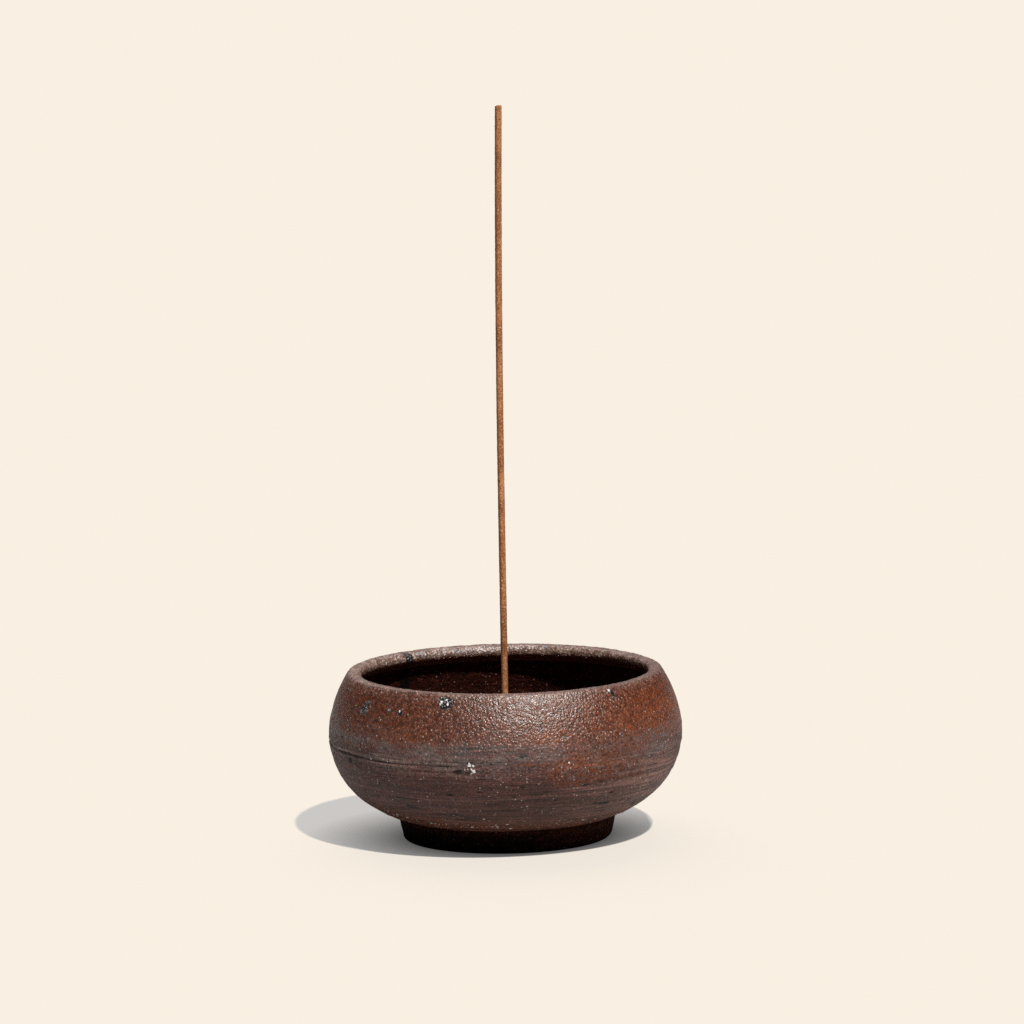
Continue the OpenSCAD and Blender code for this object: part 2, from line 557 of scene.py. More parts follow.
def grey_and_ash():
    """Grey clay below an uneven border, and a band of ash along it, both weaker at the right."""
    border = 37.0 * MM + 1.2 * MM * np.sin(2 * clay.azimuth + 0.4) + 1.8 * MM * broad
    border += 6 * MM * smooth(np.abs((degrees - 150 + 180) % 360 - 180), 60, 15)
    border -= 3.5 * MM * by_azimuth(48, 68) * by_azimuth(125, 100)
    grey = smooth(clay.height, border + 4 * MM, border - 4 * MM) * is_outside
    streaked = by_azimuth(4, 18) * by_azimuth(62, 44) * by_height(22, 26)
    ash = is_outside * by_height(40, 36) * by_height(28, 33)
    ash = ash * (1 - 0.6 * by_azimuth(8, 26) * by_azimuth(56, 48))
    ash = ash * (1 - 0.7 * by_azimuth(60, 68) * by_azimuth(130, 100))
    return grey * (1 - 0.65 * streaked), ash


def worn_lip_and_highlight():
    """The lip is rubbed pale, with a painted highlight most of all at the back, on its inner edge; the
    crown below the lip gets a painted sheen and the groove's banks a painted highlight.
    """
    crown_sheen = 0.55 * is_outside * by_height(49.5, 52.4)
    rubbed = is_lip * smooth(clay.along, lip_middle + 4.5 * MM, lip_middle + 2.5 * MM)
    share = 0.4 + 0.8 * smooth(np.abs(degrees), 90, 150) + 0.35 * by_azimuth(-40, -75)
    inner_edge = smooth(clay.along, lip_middle - 1.2 * MM, lip_middle + 0.8 * MM)
    share = share * (1 - 0.55 * smooth(np.abs(degrees), 110, 140) * (1 - inner_edge))
    return np.minimum(np.maximum(rubbed, crown_sheen) * share + 0.8 * banks, 1)


def paint_bowl(mesh, grid):
    grey, ash = grey_and_ash()
    orange = Spots((
        (64, 43, 30, 7.5),
        (14, 39, 10, 3),
        (24, 31, 17, 3.4, 0.75),
        (-34, 40, 9, 3, 0.35),
        (128, 44, 18, 6),
        (-150, 45, 20, 6),
    ))
    # paler dusty patches on the right and at the back, partly a painted sheen
    dust_and_sheen = Spots(((62, 20, 28, 13), (-170, 24, 30, 9)))
    # painted shade: the foot's lower edge turns near black from the left round to the front
    foot_painted_shade = is_foot * by_height(8.5, 4) * by_azimuth(75, -5) * by_azimuth(-170, -110)
    for name, values in (
        ("grey", grey),
        ("ash", ash),
        ("orange", orange.total * is_outside),
        ("dust_and_sheen", dust_and_sheen.total * is_outside),
        ("sandy", is_outside * by_height(16, 10)),
        ("foot_painted_shade", foot_painted_shade),
        ("lip", worn_lip_and_highlight()),
        ("glass", glass),
        # hollow paints shade into the groove and the pits, and paints the stick's shadow over the lip
        ("hollow", np.clip(0.75 * groove + pits + 1.2 * run, 0, 1)),
        ("along", clay.along),
    ):
        paint(mesh, name, values, grid)


def make_bowl():
    grid = clay.pushed(bowl_push())
    mesh = closed_mesh("bowl_clay", grid)
    paint_bowl(mesh, grid)
    bowl = piece(mesh, "bowl", clay_material("melted_ash_clay", gloss=0.9, ior=1.55))
    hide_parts("bowl")
    give_matt_clay(mesh)
    return grid


def give_matt_clay(mesh):
    """The foot and the inside are bare, and ever fewer faces of the outside are glossy down the belly."""
    glossy, foot, inside, dull = range(4)  # the materials' places in the mesh's list
    mesh.materials.append(bare_material("burnt_foot_with_painted_shade", FOOT_RUST, FOOT_SPECK, gloss=0.03, sparkle=0.12))
    mesh.materials.append(bare_material("bare_inside", DARK_CLAY, INSIDE_SPECK, gloss=0.12, sparkle=0.4))
    mesh.materials.append(clay_material("dull_clay", gloss=0.42, ior=1.5))
    dullness = by_height(37, 23) + 0.25 * broad
    dullness = dullness + 0.9 * by_azimuth(-38, -70) * by_azimuth(-150, -110)
    dullness = dullness + 0.8 * by_azimuth(50, 76) * by_azimuth(130, 100)
    chance = np.random.default_rng(5).uniform(0.02, 0.98, dullness.shape)
    kind = np.where(dullness > chance, dull, glossy)[1:-2]
    face_row = np.arange(len(outline) - 3)[:, None] + 1
    first_inside = inside_row + 3  # the lip's clay reaches this far in
    kind = np.where(face_row < outside_row, foot, kind)
    kind = np.where(face_row >= first_inside, inside, kind)
    kind = np.where((face_row >= lip_row) & (face_row < first_inside), glossy, kind)
    ends = np.repeat([foot, inside], BOWL_COLUMNS)
    mesh.polygons.foreach_set("material_index", np.concatenate([kind.ravel(), ends]).astype(np.int32))
    mesh.update()


# ---------------------------------------------------------------- clay material
RUST = rgb(91, 40, 11)
ORANGE = rgb(120, 54, 8)
MAUVE = rgb(78, 45, 39)
GREY = rgb(96, 65, 59)
ASH_GREY = rgb(99, 82, 79)
DUST_AND_SHEEN = rgb(138, 102, 92)
SAND = rgb(106, 60, 38)
PALE_LIP_AND_HIGHLIGHT = rgb(164, 139, 128)
DARK_CLAY = rgb(42, 14, 8)
INSIDE_SPECK = rgb(150, 82, 62)
FOOT_PAINTED_SHADE = rgb(10, 4, 3)
FOOT_RUST = rgb(44, 20, 12)
FOOT_SPECK = rgb(112, 66, 48)
ASH_GLASS = rgb(20, 18, 19)
ASH_GLASS_PALE = rgb(118, 114, 117)
SCRATCH_AND_PAINTED_SHADE = rgb(12, 7, 5)
QUARTZ = rgb(204, 190, 182)
TAN_SAND = rgb(158, 118, 98)
IRON_SAND = rgb(22, 16, 15)
RED_SAND = rgb(150, 74, 42)
SAND_GRAIN = 0.85 * MM
STREAK_SQUEEZE = 0.035  # the noise of streaks takes distances round the bowl times this


def add_grains(s, colour, size, empty, tint, seed, strength):
    """Sparse grains of one tint; empty is the part of the cells that has none."""
    distance, chance = s.cells(size, seed)
    crowd = s.ramp(s.noise(9 * MM, 2, 0.5), 0.35, 0.65, empty + 0.04, empty - 0.05, smooth=False)
    grain = s.product(s.ramp(distance, 0.36, 0.14), s.math("GREATER_THAN", chance, crowd))
    return s.mix(s.product(grain, strength), colour, tint)


class Clay(Shader):
    """A clay material, with the patterns that the glossy and the bare clay share."""

    def __init__(self, name, line_size, line_detail):
        super().__init__(name)
        self.around = self.wheel_space()
        self.fine_lines = self.noise(line_size, line_detail, 0.6, self.around)
        self.mottle = self.noise(2.6 * MM, 4, 0.65)
        self.grit = self.noise(0.62 * MM, 2, 0.6)
        self.grain_edge, self.grain_chance = self.cells(SAND_GRAIN, 0.83)

    def wheel_space(self):
        """Coordinates in which noise runs in long streaks round the bowl."""
        x, y, _ = self.node("SeparateXYZ", {0: self.position()}).outputs
        x, y = self.product(x, STREAK_SQUEEZE), self.product(y, STREAK_SQUEEZE)
        return self.node("CombineXYZ", {0: x, 1: y, 2: self.attribute("along")}).outputs[0]

    def grit_normal(self):
        """Rounded sand grains, gritty clay between them, and throwing lines."""
        tall = self.ramp(self.grain_chance, 0, 1, 0.4, 1, smooth=False)
        sand = self.product(self.ramp(self.grain_edge, 0.05, 0.8, 1, 0), tall)
        normal = self.bump(self.fine_lines, 0.12 * MM, 0.6)
        normal = self.bump(sand, 0.19 * MM, 0.9, normal)
        normal = self.bump(self.grit, 0.18 * MM, 0.9, normal)
        return self.bump(self.noise(0.32 * MM, 1, 0.5), 0.08 * MM, 0.8, normal)


def body_colour(s):
    """Rust and orange above, mauve and grey below, feathered along the throwing lines where they meet."""
    streaks = s.noise(1.5 * MM, 4, 0.65, s.around)
    patches = s.noise(9 * MM, 4, 0.6, s.stretched((1, 1, 3)))
    orange = s.product(s.attribute("orange"), s.ramp(s.mottle, 0.3, 0.6, 0.4, 1))
    warm = s.mix(orange, RUST, ORANGE)
    dust_and_sheen = s.product(s.attribute("dust_and_sheen"), s.ramp(streaks, 0.3, 0.6, 0.4, 0.95))
    cool = s.mix(s.ramp(streaks, 0.46, 0.68), MAUVE, GREY)
    cool = s.mix(dust_and_sheen, cool, DUST_AND_SHEEN)
    tug = s.math("ADD", s.product(streaks, 1.6), s.product(s.mottle, 1.3))
    tug = s.math("ADD", tug, s.product(patches, 0.9))
    tug = s.math("SUBTRACT", tug, s.product(s.attribute("orange"), 0.25))
    amount = s.math("ADD", s.attribute("grey"), s.math("SUBTRACT", tug, 1.9))
    colour = s.mix(s.ramp(amount, 0.1, 0.85), warm, cool)
    ash = s.product(s.ramp(patches, 0.44, 0.6), s.ramp(s.mottle, 0.36, 0.6, 0.25, 0.85))
    return s.mix(s.product(s.attribute("ash"), ash), colour, ASH_GREY)


def add_clay_grain(s, colour):
    """Each grain a little lighter or darker than the next, throwing lines on the grey clay, and sand."""
    clear = s.ramp(s.attribute("grey"), 0, 1, 1, 0.5)  # the grain shows less on the grey clay
    colour = s.multiply(colour, s.ramp(s.grit, 0.32, 0.68, 0.5, 1.52), clear)
    colour = s.multiply(colour, s.ramp(s.grain_chance, 0, 1, 0.72, 1.28, smooth=False), clear)
    colour = s.multiply(colour, s.ramp(s.grain_edge, 0.3, 0.75, 1.1, 0.58), s.product(clear, 0.85))
    lines = s.product(s.ramp(s.fine_lines, 0.34, 0.66, -0.46, 0.38), s.attribute("grey"))
    colour = s.multiply(colour, s.math("ADD", lines, 1.0))
    scratch = s.ramp(s.noise(0.8 * MM, 1, 0.5, s.around), 0.63, 0.7)
    scratch = s.product(scratch, s.ramp(s.noise(5 * MM, 2, 0.5), 0.42, 0.56))
    colour = s.mix(s.product(scratch, s.attribute("grey")), colour, SCRATCH_AND_PAINTED_SHADE)
    colour = add_grains(s, colour, 0.9 * MM, 0.91, QUARTZ, 0.0, 0.65)
    colour = add_grains(s, colour, 0.6 * MM, 0.9, TAN_SAND, 0.31, 0.7)
    colour = add_grains(s, colour, 1.3 * MM, 0.9, IRON_SAND, 0.57, 0.85)
    return add_grains(s, colour, 0.8 * MM, 0.93, RED_SAND, 0.71, s.product(clear, 0.6))


def clay_material(name, gloss, ior):
    """Clay with a thin skin of melted ash."""
    s = Clay(name, 0.6 * MM, 2)
    sandy = s.product(s.attribute("sandy"), s.ramp(s.mottle, 0.35, 0.6, 0.35, 0.9))
    colour = s.mix(sandy, body_colour(s), SAND)
    # the rubbed pale lip, with its painted highlight and sheen
    lip = s.product(s.attribute("lip"), s.ramp(s.mottle, 0.35, 0.62, 0.15, 0.85))
    colour = s.mix(lip, colour, PALE_LIP_AND_HIGHLIGHT)
    colour = add_clay_grain(s, colour)
    # painted shade in the groove and the pits, and the stick's painted shadow
    colour = s.mix(s.ramp(s.attribute("hollow"), 0.2, 0.65, 0.0, 0.95), colour, SCRATCH_AND_PAINTED_SHADE)

    ragged = s.product(s.math("SUBTRACT", s.noise(0.9 * MM, 3, 0.6), 0.5), 1.1)
    melt = s.ramp(s.math("ADD", s.attribute("glass"), ragged), 0.26, 0.5)
    glassy = s.mix(s.ramp(s.noise(0.8 * MM, 2, 0.6), 0.48, 0.62), ASH_GLASS, ASH_GLASS_PALE)
    colour = s.mix(melt, colour, glassy)

    rough = s.ramp(s.grain_chance, 0, 1, 0.31, 0.5, smooth=False)
    rough = s.math("ADD", rough, s.product(s.attribute("grey"), 0.2))
    rough = s.math("SUBTRACT", rough, s.product(melt, 0.2), clamp=True)
    s.surface(Base_Color=colour, Roughness=rough, Normal=s.grit_normal())
    s.surface(Specular_IOR_Level=gloss, IOR=ior)
    return s.material


def bare_material(name, colour, speck, gloss, sparkle):
    """Matt clay with no melted ash on it: dark, with browner sand in it."""
    s = Clay(name, 0.9 * MM, 3)
    # in the foot's painted shade the clay turns near black and its sand loses its specks
    sand = s.mix(s.attribute("foot_painted_shade"), speck, colour)
    tint = s.mix(s.attribute("foot_painted_shade"), colour, FOOT_PAINTED_SHADE)
    tint = s.multiply(tint, s.ramp(s.grit, 0.32, 0.68, 0.35, 1.75))
    tint = s.multiply(tint, s.ramp(s.mottle, 0.35, 0.65, 0.7, 1.35))
    tint = s.multiply(tint, s.ramp(s.fine_lines, 0.35, 0.65, 0.75, 1.25))
    tint = add_grains(s, tint, SAND_GRAIN, 0.8, sand, 0.13, 0.8)
    tint = add_grains(s, tint, 0.7 * MM, 0.92, QUARTZ, 0.41, sparkle)
    # painted shade in the pits, and the stick's painted shadow down the inside
    tint = s.mix(s.ramp(s.attribute("hollow"), 0.3, 0.7), tint, SCRATCH_AND_PAINTED_SHADE)
    rough = s.ramp(s.grain_chance, 0, 1, 0.6, 0.9, smooth=False)
    s.surface(Base_Color=tint, Roughness=rough, Normal=s.grit_normal(), Specular_IOR_Level=gloss)
    return s.material


# ---------------------------------------------------------------- feldspar
FELDSPAR_BROWN = rgb(150, 122, 106)
FELDSPAR_WHITE = rgb(234, 231, 230)
FELDSPAR_BLUE = rgb(132, 136, 148)
FELDSPAR_STAIN = rgb(104, 92, 88)
BLUE_TONE = -1.0  # other tones run from 0, brown, to 1, white
LARGEST_GRAIN = 1.0  # millimetres, radius


def grain_material():
    s = Shader("feldspar")
    tone = s.attribute("tone")
    colour = s.mix(tone, FELDSPAR_BROWN, FELDSPAR_WHITE)
    colour = s.mix(s.ramp(tone, -0.2, -0.8), colour, FELDSPAR_BLUE)
    colour = s.mix(s.ramp(s.noise(0.3 * MM, 2, 0.6), 0.5, 0.7, 0, 0.6), colour, FELDSPAR_STAIN)
    rough = s.ramp(s.noise(0.25 * MM), 0.35, 0.65, 0.22, 0.5)
    s.surface(Base_Color=colour, Roughness=rough)
    s.surface(Normal=s.bump(s.noise(0.2 * MM, 2, 0.6), 0.05 * MM, 0.6))
    return s.material


def front_grains():
    """The grains given one by one, listed as scattered_grains does."""
    places = []
    for azimuth, height, radius in (
        (-11.7, 31.9, 1.0), (-10.1, 31.6, 0.7), (-11.1, 30.7, 0.55), (-9.9, 29.7, 0.9), (-10.8, 29.2, 0.5),
        (-21.8, 50.5, 1.0), (-20.2, 49.9, 0.75), (-20.4, 51.3, 0.8), (-23.0, 50.0, 0.65),
        (-22.6, 51.5, 0.65), (-19.0, 50.6, 0.5), (-21.0, 49.0, 0.55), (-23.9, 51.0, 0.5),
        (-18.6, 51.2, 0.45), (21, 31.8, 0.65), (-43.3, 47.0, 0.5), (-38.1, 46.7, 0.5),
        (-55.2, 46.0, 0.4), (40.6, 51.6, 0.6),
    ):
        tone = BLUE_TONE if height > 48 and radius < 0.6 else 1.0
        places.append((azimuth, outside_at(height * MM), radius, tone))
    return places


def scattered_grains(rng):
    """The azimuth in degrees, place along the outline, radius in millimetres and tone of the rest."""
    places = []
    # all over the outside, and more of them low down
    top, bottom = outside_at(51 * MM), outside_at(8 * MM)
    for _ in range(330):
        along = bottom + rng.uniform() ** 1.35 * (top - bottom)
        tone = rng.uniform() if rng.uniform() < 0.75 else BLUE_TONE
        places.append((rng.uniform(-180, 180), along, rng.gamma(4, 0.05), tone))
    # nine crowds just above the foot
    for _ in range(260):
        height = 8.6 + rng.gamma(2, 0.9)
        azimuth = rng.choice((-160, -110, -62, -34, -8, 21, 60, 95, 140)) + rng.normal(0, 9)
        places.append((azimuth, outside_at(height * MM), rng.gamma(4, 0.1), rng.uniform(0.0, 0.8)))
    # round the lip, half of them at the back
    for _ in range(200):
        along = lip_middle + rng.normal(0.7, 1.6) * MM
        azimuth = rng.choice((rng.uniform(-180, 180), rng.normal(-168, 22)))
        places.append((azimuth, along, rng.gamma(4, 0.05), rng.uniform(0.3, 1)))
    # a crowd on the inner edge of the lip at the back
    for _ in range(240):
        along = lip_middle + rng.normal(1.5, 0.8) * MM
        tone = rng.choice((0.75, 0.55, BLUE_TONE))
        places.append((rng.normal(-163, 17), along, rng.gamma(6, 0.054), tone))
    # the inside
    for _ in range(90):
        azimuth, along = rng.uniform(-180, 180), inside_at(rng.uniform(16, 50) * MM)
        places.append((azimuth, along, rng.gamma(4, 0.05), rng.uniform()))
    return places


def ball_shape():
    """The corners and the faces of a coarse ball whose radius is 1."""
    ball = bmesh.new()
    bmesh.ops.create_icosphere(ball, subdivisions=1, radius=1)
    corners = np.array([v.co for v in ball.verts])
    sides = np.array([[v.index for v in f.verts] for f in ball.faces])
    ball.free()
    return corners, sides


def make_grains(grid):
    """Angular grains of feldspar in one mesh, each partly sunk into the clay of grid."""
    corners, sides = ball_shape()
    rng = np.random.default_rng(11)
    points, faces, tones = [], [], []
    for azimuth, along, radius, tone in front_grains() + scattered_grains(rng):
        row = int(np.abs(clay.along[:, 0] - along).argmin())
        column = int((azimuth + 180) % 360 / 360 * BOWL_COLUMNS)
        turn, out_r = math.radians(azimuth), clay.out_r[row, 0]
        out = np.array((out_r * math.sin(turn), -out_r * math.cos(turn), clay.out_z[row, 0]))
        size = min(radius, LARGEST_GRAIN) * MM
        angular = corners * rng.uniform(0.65, 1.15, (len(corners), 1)) * rng.uniform(0.7, 1.2, 3)
        flat = angular - 0.45 * np.outer(angular @ out, out)
        faces.extend((sides + len(points) * len(corners)).tolist())
        points.append(flat * size + grid[row, column] - out * size * 0.3)
        tones += [tone] * len(corners)
    points = np.concatenate(points)
    # none stands out past the CAD outline
    reach = np.hypot(points[:, 0], points[:, 1])
    points[:, :2] *= np.minimum(1, (bowl_high.x - 0.05 * MM) / reach)[:, None]
    points[:, 2] = np.minimum(points[:, 2], bowl_high.z)
    mesh = bpy.data.meshes.new("feldspar_grains")
    mesh.from_pydata(points.tolist(), [], faces)
    mesh.attributes.new("tone", "FLOAT", "POINT").data.foreach_set("value", np.array(tones, np.float32))
    piece(mesh, "bowl", grain_material())


# ---------------------------------------------------------------- stick stand
STAND_BASE_H = 2 * MM
POST_R = 3.2 * MM
HOLLOW_R = 5 * MM
BORE_R = 1.12 * MM
BORE_CHAMFER = 0.2 * MM
STAND_EDGE_R = 0.6 * MM
STAND_H = stand_high.z - stand_low.z
STAND_R = stand_high.x
STAND_COLUMNS = 144
BRASS = rgb(206, 168, 98)
TARNISH = rgb(122, 86, 50)
BRASS_SPECK = rgb(74, 50, 34)
BORE_PAINTED_SHADE = rgb(48, 34, 24)
PATINA_ROOM = 0.02 * MM  # the turned surface stays this far inside the CAD


def stand_outline():
    """Half section from under the stand, up its curved side, and down the bore to its floor."""
    radius, edge, chamfer = STAND_R - PATINA_ROOM, STAND_EDGE_R, BORE_CHAMFER
    return joined(
        line((0, 0), (radius - edge, 0), 2 * MM),
        arc((radius - edge, edge), edge, -90, 0, 0.12 * MM),
        arc((radius - edge, STAND_BASE_H - edge), edge, 0, 90, 0.12 * MM),
        line((radius - edge, STAND_BASE_H), (POST_R + HOLLOW_R, STAND_BASE_H), 0.3 * MM),
        arc((POST_R + HOLLOW_R, STAND_BASE_H + HOLLOW_R), HOLLOW_R, 270, 180, 0.3 * MM),
        line((POST_R, STAND_BASE_H + HOLLOW_R), (POST_R, STAND_H - edge), 0.3 * MM),
        arc((POST_R - edge, STAND_H - edge), edge, 0, 90, 0.12 * MM),
        line((POST_R - edge, STAND_H), (BORE_R + chamfer, STAND_H), 0.2 * MM),
        line((BORE_R + chamfer, STAND_H), (BORE_R, STAND_H - chamfer), 0.1 * MM),
        line((BORE_R, STAND_H - chamfer), (BORE_R, STAND_BASE_H), 1 * MM),
        line((BORE_R, STAND_BASE_H), (0, STAND_BASE_H), 0.5 * MM),
    )


def make_stand():
    """The stand, with fine tool marks where it can be seen."""
    turned = Turned(stand_outline() + (0, stand_low.z), STAND_COLUMNS)
    up = turned.height - stand_low.z
    seen = smooth(up, 0.2 * MM, 0.5 * MM) * smooth(turned.radius, BORE_R, BORE_R + 0.3 * MM)
    tool_marks = np.sin(turned.along / (0.11 * MM)) + 0.6 * np.sin(turned.along / (0.047 * MM))
    push = (0.004 * MM * tool_marks + 0.008 * MM * turned.noise(6 * MM, 21)) * seen
    grid = turned.pushed(np.minimum(push, 0.015 * MM))
    mesh = closed_mesh("stand_brass", grid)
    cove = hump(up - STAND_BASE_H, 1.6 * MM) * smooth(turned.radius, 9.5 * MM, 7 * MM)
    rim = smooth(turned.radius, STAND_R - 0.9 * MM, STAND_R - 0.3 * MM)
    worn = np.maximum(hump(up - STAND_H, 0.7 * MM), rim)
    bore = smooth(turned.radius, BORE_R + 0.35 * MM, BORE_R)
    for name, values in (("cove", cove), ("worn", worn), ("bore", bore), ("along", turned.along)):
        paint(mesh, name, values, grid)
    stand = piece(mesh, "stick_stand", brass_material())
    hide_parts("stick_stand")


def brass_material():
    """Turned brass that has dulled: fine rings, brown in the hollow curve, bright on the worn edges."""
    s = Shader("turned_brass")
    rings = s.node("CombineXYZ", {2: s.attribute("along")}).outputs[0]
    fine_rings = s.noise(0.12 * MM, 2, 0.7, rings)
    bands = s.noise(0.9 * MM, 2, 0.5, rings)
    cloud = s.noise(3.5 * MM, 4, 0.6)
    specks = s.noise(0.5 * MM, 2, 0.6)
    tarnish = s.ramp(cloud, 0.38, 0.66, 0.12, 0.72)
    tarnish = s.math("ADD", tarnish, s.product(s.attribute("cove"), 0.5))
    tarnish = s.math("SUBTRACT", tarnish, s.product(s.attribute("worn"), 0.5), clamp=True)
    colour = s.mix(tarnish, BRASS, TARNISH)
    colour = s.multiply(colour, s.ramp(bands, 0.35, 0.65, 0.86, 1.1))
    colour = s.mix(s.ramp(specks, 0.62, 0.74, 0, 0.6), colour, BRASS_SPECK)
    # painted shade inside the bore
    colour = s.mix(s.product(s.attribute("bore"), 0.8), colour, BORE_PAINTED_SHADE)
    rough = s.math("ADD", s.ramp(fine_rings, 0.3, 0.7, 0.24, 0.4), s.product(tarnish, 0.22))
    normal = s.bump(fine_rings, 0.02 * MM, 0.6)
    normal = s.bump(specks, 0.02 * MM, 0.4, normal)
    s.surface(Base_Color=colour, Metallic=1.0, Roughness=rough, Normal=normal)
    return s.material


# ---------------------------------------------------------------- incense stick
STICK_R = 1.06 * MM  # mean radius of the grainy surface
STICK_LENGTH = 217 * MM
STICK_STRAIGHT = 95 * MM
STICK_BOW_R = 5900 * MM  # of the curve above the straight part
STICK_MOST_R = 1.12 * MM
STICK_MOST_R_IN_BORE = 1.04 * MM
STICK_STEP = 0.42 * MM
STICK_COLUMNS = 28
INCENSE_DARK = rgb(148, 93, 58)
INCENSE_PALE = rgb(184, 124, 80)
WOOD_PALE = rgb(212, 160, 116)
WOOD_DARK = rgb(80, 42, 24)
WOOD_LINE = rgb(96, 56, 34)
WOOD_FLECK = rgb(222, 190, 158)
STICK_PAINTED_SHADE = rgb(84, 46, 38)


def stick_lengths():
    """How far up the stick each row is, and its share of the radius, less than 1 at the rounded ends."""
    end, room = STICK_LENGTH, 0.3 * MM  # room is the stretch of each rounded end
    body = np.arange(room, end - room, STICK_STEP)
    length = np.concatenate([[0, 0, 0.08 * MM], body, [end - room, end - 0.07 * MM, end, end]])
    share = np.ones(len(length))
    share[:3] = (0, 0.86, 0.96)
    share[-4:] = (1, 0.97, 0.86, 0)
    return length[:, None], share[:, None]


def stick_grid(length, share, azimuth):
    """Rows of points round the stick, level at first and then leaning with its bow."""
    low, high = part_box("incense_stick")
    places = np.stack(np.broadcast_arrays(np.sin(azimuth), -np.cos(azimuth), length / MM), -1)

    def rough(size, seed, stretch=1.0):
        return noise_at(places * (1 / size, 1 / size, 1 / (size * stretch)) + 13.7 * seed)

    radius = STICK_R + MM * (0.05 * rough(0.42, 1) + 0.03 * rough(0.9, 2, 3) + 0.025 * rough(1.2, 3, 14))
    radius = np.minimum(radius, STICK_MOST_R) * share
    slim = np.minimum(radius, STICK_MOST_R_IN_BORE)
    inside_bore = smooth(length, 10 * MM, 9 * MM)
    radius = radius * (1 - inside_bore) + slim * inside_bore
    turn = np.maximum(0, length - STICK_STRAIGHT) / STICK_BOW_R
    across = radius * np.sin(azimuth)
    x = STICK_BOW_R * (1 - np.cos(turn)) + across
    z = low.z + np.minimum(length, STICK_STRAIGHT) + STICK_BOW_R * np.sin(turn) - across * np.sin(turn)
    grid = np.stack([x, -radius * np.cos(azimuth), z], -1)
    # the top is chipped on its left
    chip = hump(azimuth + 1.7, 0.7) * np.array([0.25, 0.4])[:, None] * MM
    grid[-3:-1, :, 2] -= chip + 0.06 * MM * np.abs(rough(0.5, 4)[-3:-1])
    grid[..., 2] = np.clip(grid[..., 2], low.z, high.z)
    return grid


def make_stick():
    """The stick, painted darker down its left side as shade. It casts no shadow; its shadow over the lip is
    painted on the bowl.
    """
    length, share = stick_lengths()
    azimuth = np.linspace(-math.pi, math.pi, STICK_COLUMNS, endpoint=False)[None, :]
    grid = stick_grid(length, share, azimuth)
    mesh = closed_mesh("stick_incense", grid)
    paint(mesh, "low", smooth(length, 175 * MM, 145 * MM), grid)
    # painted shade down the stick's left side
    paint(mesh, "painted_shade_side", smooth(np.cos(azimuth + math.radians(80)), 0.35, 0.85), grid)
    stick = piece(mesh, "incense_stick", incense_material())
    stick.visible_shadow = False
    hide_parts("incense_stick")


def incense_material():
    """Pressed wood powder: fine light and dark grains, and faint lines along the stick."""
    s = Shader("pressed_incense")
    grains = s.noise(0.42 * MM, 3, 0.65)
    powder = s.noise(0.2 * MM, 2, 0.6)
    cloud = s.noise(3.2 * MM, 3, 0.5, s.stretched((1, 1, 0.35)))
    drawn = s.noise(0.35 * MM, 2, 0.6, s.stretched((1, 1, 0.06)))
    colour = s.mix(s.ramp(cloud, 0.36, 0.66), INCENSE_DARK, INCENSE_PALE)
    colour = s.mix(s.ramp(grains, 0.5, 0.7, 0, 0.85), colour, WOOD_PALE)
    colour = s.mix(s.ramp(grains, 0.5, 0.3, 0, 0.9), colour, WOOD_DARK)
    colour = s.multiply(colour, s.ramp(powder, 0.3, 0.7, 0.72, 1.3))
    colour = s.mix(s.ramp(drawn, 0.56, 0.7, 0, 0.4), colour, WOOD_LINE)
    colour = add_grains(s, colour, 0.9 * MM, 0.93, WOOD_FLECK, 0.2, 0.8)
    colour = s.multiply(colour, s.ramp(s.attribute("low"), 0, 1, 0.93, 1.06))
    # painted shade down the stick's left side
    colour = s.mix(s.product(s.attribute("painted_shade_side"), 0.5), colour, STICK_PAINTED_SHADE)
    normal = s.bump(grains, 0.2 * MM, 0.85)
    normal = s.bump(powder, 0.06 * MM, 0.7, normal)
    s.surface(Base_Color=colour, Roughness=s.ramp(powder, 0.3, 0.7, 0.72, 0.95), Normal=normal)
    s.surface(Specular_IOR_Level=0.25)
    return s.material


make_grains(make_bowl())
make_stand()
make_stick()

# ---------------------------------------------------------------- stage and light
KEY_SIDE, KEY_UP = 23.8, 51.8  # degrees to the right of the viewer, and above the table
KEY_POWER = 3.75
KEY_COLOUR = (1.0, 0.962, 0.9)
KEY_WIDTH = 1.6  # degrees
BACK_SIDE, BACK_UP = -170, 55  # of the soft light at the back
BACK_EDGE = 0.7  # cosine of the angle from its middle to where it ends
SKY_DIM, SKY_BRIGHT = 0.07, 1.2
SKY_COLOUR = (1.0, 0.98, 0.98, 1)
CREAM = (0.939, 0.871, 0.768, 1)  # behind the floor
FLOOR_SIZE = 12.0  # metres, from the middle to each side
FLOOR_GREY = (0.52, 0.52, 0.52, 1)  # for light that bounces off it
FLOOR_CREAM = (0.372, 0.320, 0.241, 1)  # for the camera
FLOOR_GLOW = 0.48
FLOOR_GLOW_COLOUR = (0.995, 1.0, 1.01, 1)
FOOT_GLOW = 0.08  # in the dark close to the foot
FOOT_GLOW_R, FLOOR_GLOW_R = 31 * MM, 64 * MM  # where the one ends and where the other starts
SHADOW_EDGE = 0.6 * MM
SHADOW_CIRCLES = ((BELLY_H, BELLY_R), (20 * MM, 51.6 * MM), (14 * MM, 46.6 * MM))  # heights and radii


def towards(side, up):
    """Direction of a light: side in degrees to the right of the viewer, up in degrees above the table."""
    side, up = math.radians(side), math.radians(up)
    return Vector((math.sin(side) * math.cos(up), -math.cos(side) * math.cos(up), math.sin(up)))


def sunlit(s):
    """1 on the floor outside the shadow, which is that of three level circles of the bowl."""
    key = towards(KEY_SIDE, KEY_UP)
    lit = 1.0
    for height, radius in SHADOW_CIRCLES:
        middle = (-key.x * height / key.z, -key.y * height / key.z, 0)
        edge = s.ramp(s.distance_from(middle), radius - SHADOW_EDGE, radius + SHADOW_EDGE)
        lit = s.product(lit, edge)
    return lit


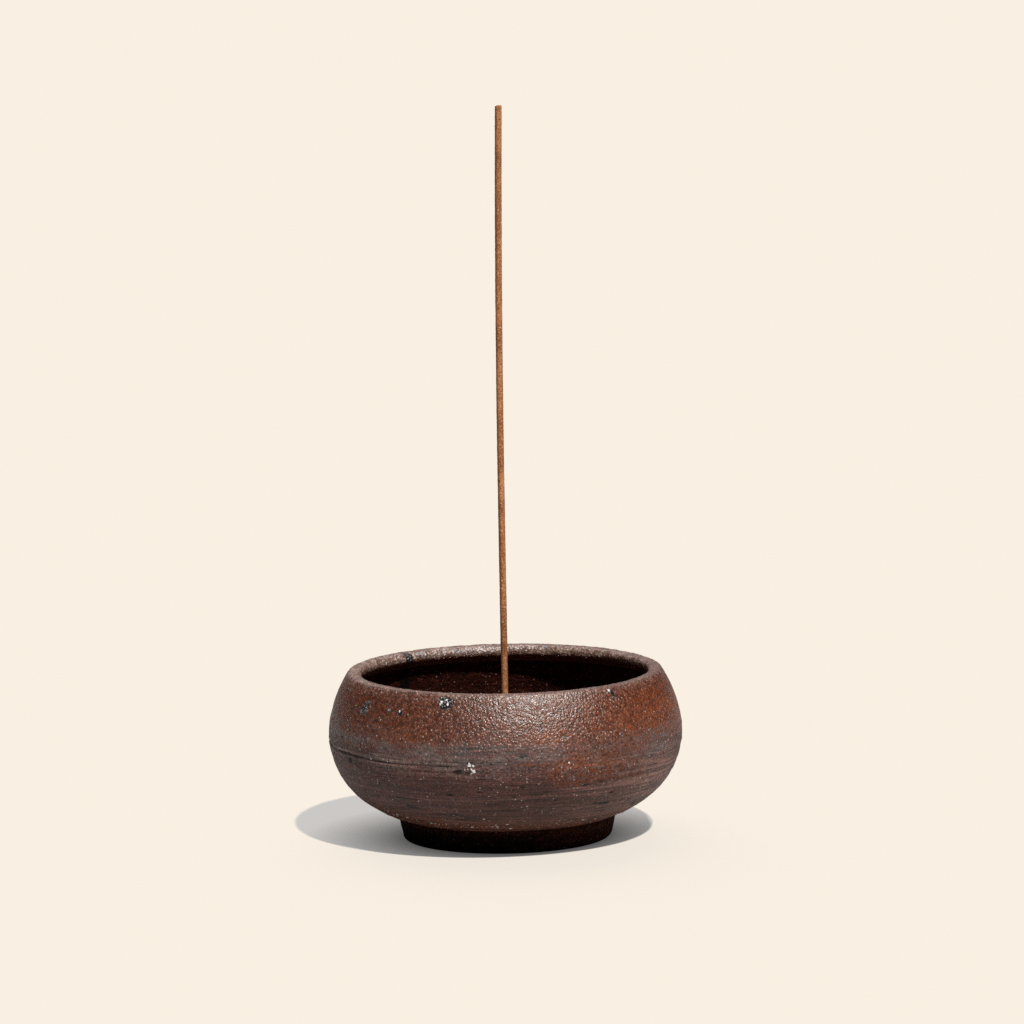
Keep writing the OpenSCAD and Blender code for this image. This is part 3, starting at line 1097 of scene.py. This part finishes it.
def make_stage():
    """A pale floor. Its faint glow, seen only by the camera, keeps the shadow as light as on paper."""
    size = FLOOR_SIZE
    corners = [(-size, -size, 0), (size, -size, 0), (size, size, 0), (-size, size, 0)]
    mesh = bpy.data.meshes.new("floor")
    mesh.from_pydata(corners, [], [(0, 1, 2, 3)])
    floor = bpy.data.objects.new("floor", mesh)
    bpy.context.scene.collection.objects.link(floor)
    s = Shader("pale_floor")
    seen = s.node("LightPath").outputs["Is Camera Ray"]
    out = s.distance_from((0, 0, 0))
    # the glow fades towards the foot, which paints a darker shadow where the bowl meets the floor
    glow = s.ramp(out, FOOT_GLOW_R, FLOOR_GLOW_R, FOOT_GLOW, FLOOR_GLOW, smooth=False)
    glow = s.math("ADD", glow, s.product(sunlit(s), s.math("SUBTRACT", FLOOR_GLOW, glow)))
    s.surface(Base_Color=s.mix(seen, FLOOR_GREY, FLOOR_CREAM), Roughness=1.0, Specular_IOR_Level=0.0)
    s.surface(Emission_Color=FLOOR_GLOW_COLOUR, Emission_Strength=s.product(seen, glow))
    mesh.materials.append(s.material)


def make_key():
    data = bpy.data.lights.new("key", "SUN")
    data.energy = KEY_POWER
    data.color = KEY_COLOUR
    data.angle = math.radians(KEY_WIDTH)
    lamp = bpy.data.objects.new("key", data)
    bpy.context.scene.collection.objects.link(lamp)
    lamp.rotation_euler = towards(KEY_SIDE, KEY_UP).to_track_quat("Z", "Y").to_euler()


def make_sky():
    """Dim light all round, a broad soft light high at the back, and cream for the camera to see."""
    world = bpy.data.worlds.new("studio")
    world.use_nodes = True
    w = Nodes(world.node_tree)
    inputs = {0: w.node("TexCoord").outputs["Generated"], 1: towards(BACK_SIDE, BACK_UP)}
    facing = w.node("VectorMath", inputs, operation="DOT_PRODUCT").outputs["Value"]
    light = w.tree.nodes["Background"]
    w.feed(light.inputs["Color"], SKY_COLOUR)
    w.feed(light.inputs["Strength"], w.ramp(facing, BACK_EDGE, 1.0, SKY_DIM, SKY_BRIGHT))
    cream = w.node("Background", {"Color": CREAM})
    seen = w.node("LightPath").outputs["Is Camera Ray"]
    mix = w.node("MixShader", {0: seen, 1: light.outputs[0], 2: cream.outputs[0]})
    w.feed(w.tree.nodes["World Output"].inputs["Surface"], mix.outputs[0])
    world.cycles.sampling_method = "NONE"
    bpy.context.scene.world = world


make_stage()
make_sky()
make_key()
bpy.context.scene.view_settings.view_transform = "Standard"
bpy.context.scene.cycles.use_denoising = False  # it would smear the grit of the clay
